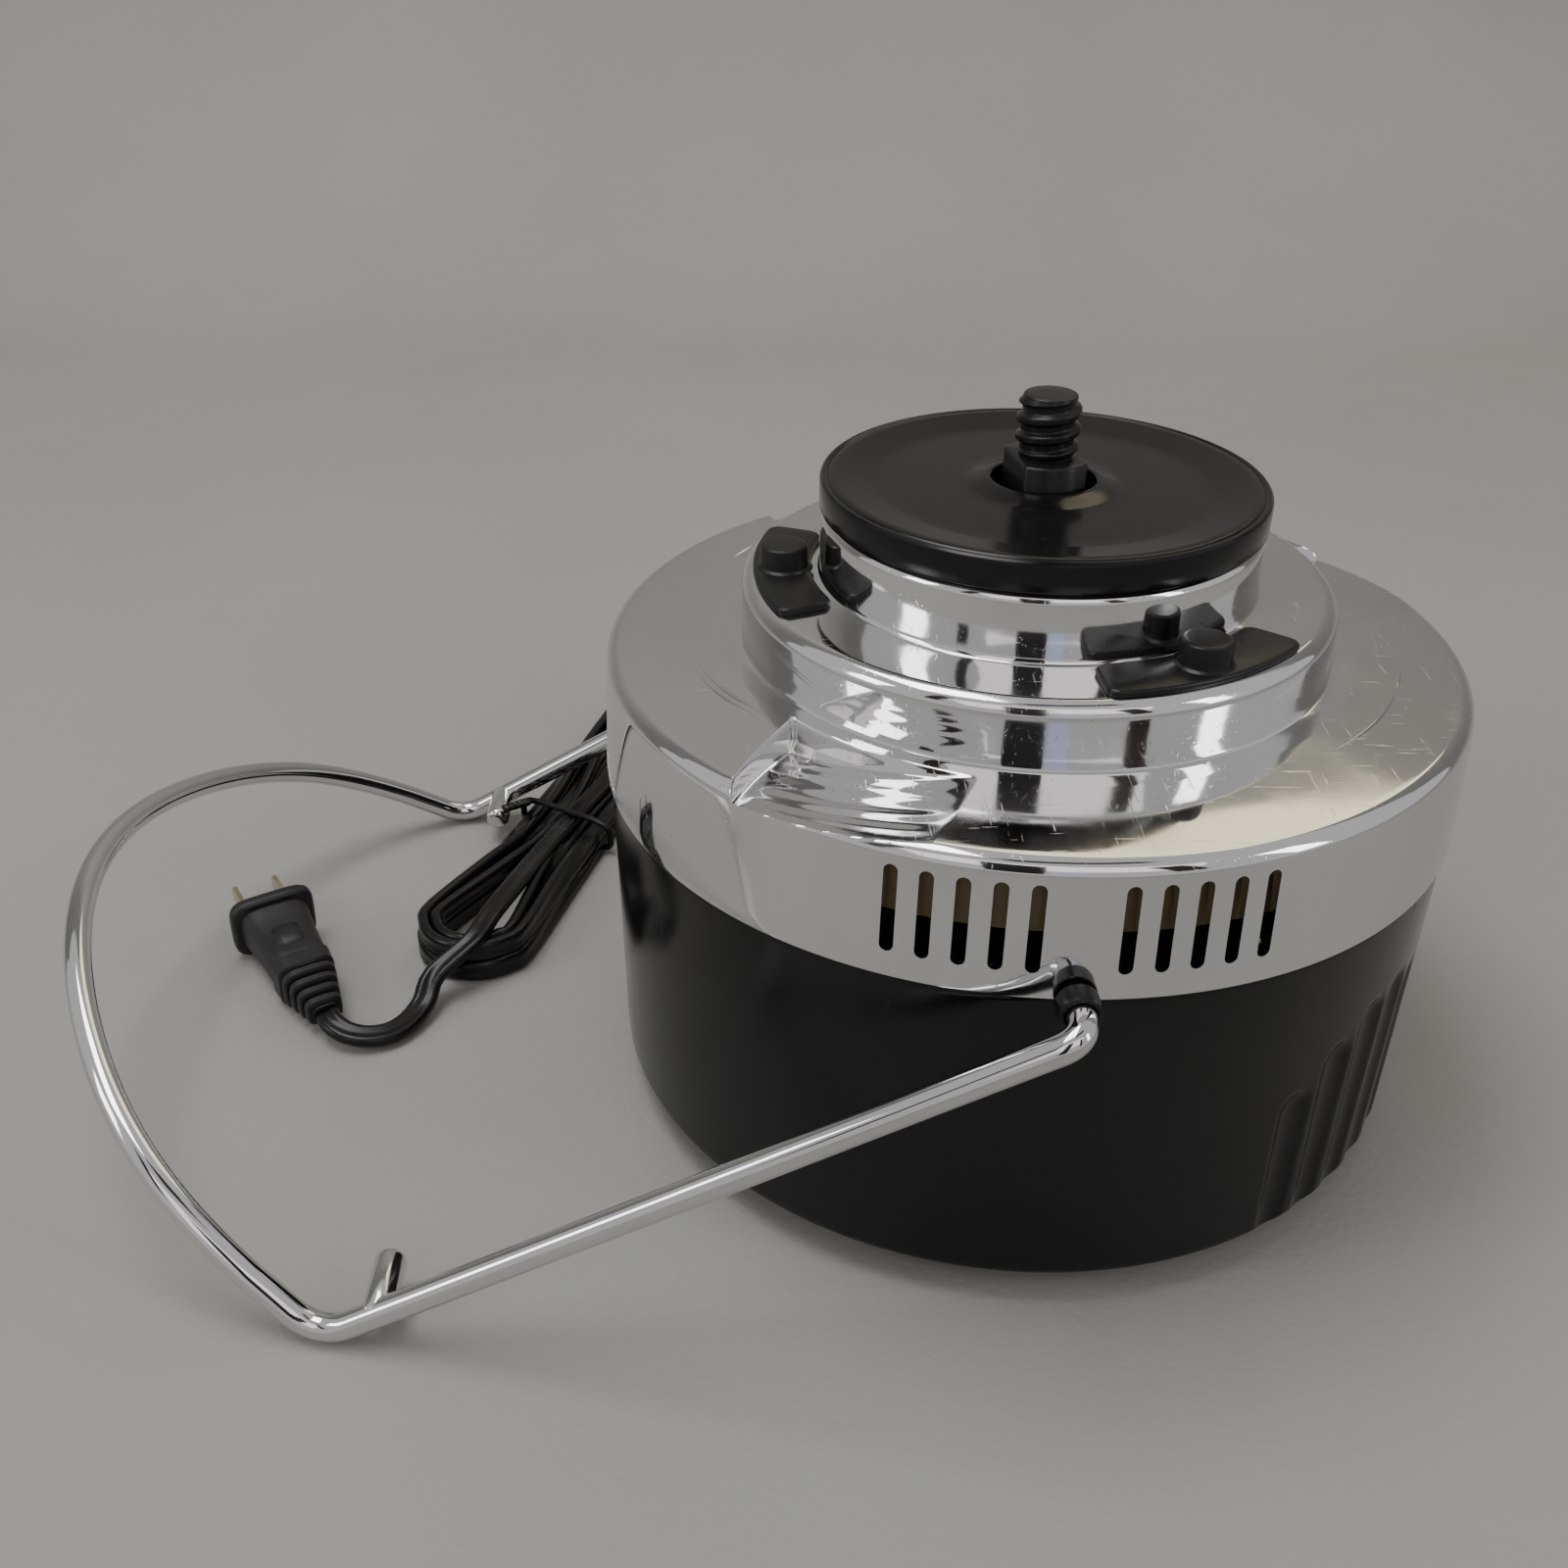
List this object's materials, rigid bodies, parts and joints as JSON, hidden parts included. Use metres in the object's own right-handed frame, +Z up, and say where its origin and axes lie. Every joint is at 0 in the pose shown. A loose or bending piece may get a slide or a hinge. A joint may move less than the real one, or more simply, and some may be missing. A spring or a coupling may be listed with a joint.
{
  "type": "juice extractor motor base",
  "caption": "Round chrome and black motor base of a juice extractor, with a threaded drive spindle, padded bowl shelf, hinged wire clamp bail and hanked mains lead.",
  "frame": {"origin": "on the surface it stands on, under the middle of the machine's bounding box, bail included and mains lead left out", "axes": "+X from the resting bail towards the machine, +Z up along the drive axis; the bail pivots about a line along +Y"},
  "size_m": [0.3686, 0.3339, 0.192],
  "materials": {
    "chrome_shell": "bright chrome plating, lightly scratched",
    "bail_chrome": "bright chrome plated wire",
    "housing_black": "black moulding, semi-gloss",
    "foot_rubber": "matt black rubber",
    "screw_steel": "zinc plated",
    "cap_black": "black moulding, satin rim and polished dish",
    "spindle_black": "black moulding, satin",
    "pad_rubber": "black rubber, slightly shiny",
    "seal_rubber": "black rubber",
    "plate_steel": "bare steel",
    "sleeve_black": "black nylon",
    "bell_aluminium": "die cast",
    "winding_copper": "enamelled copper wire",
    "core_steel": "varnished laminations",
    "fan_nylon": "natural nylon",
    "cord_black": "black flexible PVC, slightly shiny",
    "plug_black": "black moulded PVC",
    "blade_brass": "bare brass, lightly plated"
  },
  "bodies": {
    "base": {"top_shell": "chrome_shell", "shelf_step": "chrome_shell", "neck_step": "chrome_shell", "lower_housing": "housing_black", "base_plate": "housing_black", "foot_1": "foot_rubber", "foot_2": "foot_rubber", "foot_3": "foot_rubber", "foot_4": "foot_rubber", "base_screw_1": "screw_steel", "base_screw_2": "screw_steel", "base_screw_3": "screw_steel", "base_screw_4": "screw_steel", "chassis_screw_1": "screw_steel", "chassis_screw_2": "screw_steel", "chassis_screw_3": "screw_steel", "chassis_screw_4": "screw_steel", "motor_bolt_1": "screw_steel", "motor_bolt_2": "screw_steel", "motor_bolt_3": "screw_steel", "motor_bolt_4": "screw_steel", "cap_disc": "cap_black", "bowl_pad_1": "pad_rubber", "bowl_pad_2": "pad_rubber", "shaft_seal": "seal_rubber", "seal_retainer": "plate_steel", "chassis_plate": "plate_steel", "upper_bearing": "plate_steel", "lower_bearing": "plate_steel", "pivot_sleeve_1": "sleeve_black", "pivot_sleeve_2": "sleeve_black", "interlock_switch": "sleeve_black", "upper_bell": "bell_aluminium", "lower_bell": "bell_aluminium", "upper_winding": "winding_copper", "lower_winding": "winding_copper", "stator": "core_steel", "terminal_block": "fan_nylon", "cord_relief": "cord_black", "cord_exit": "cord_black", "cord_hank": "cord_black", "cord_tie": "cord_black", "cord_lead": "cord_black", "plug_body": "plug_black", "plug_blade_1": "blade_brass", "plug_blade_2": "blade_brass"},
    "bail": {"clamp_bail": "bail_chrome", "pivot_collar_1": "plate_steel", "pivot_collar_2": "plate_steel"},
    "spindle": {"drive_spindle": "spindle_black", "motor_shaft": "plate_steel", "rotor": "core_steel", "cooling_fan": "fan_nylon"}
  },
  "joints": [
    {"name": "bail_pivot", "type": "hinge", "parent": "base", "child": "bail", "pos_m": [0.068, 0, 0.0958], "axis": [0, 1, 0], "range_deg": [0, 205]},
    {"name": "spindle_spin", "type": "hinge", "parent": "base", "child": "spindle", "pos_m": [0.073, 0, 0.15], "axis": [0, 0, 1], "continuous": true}
  ]
}
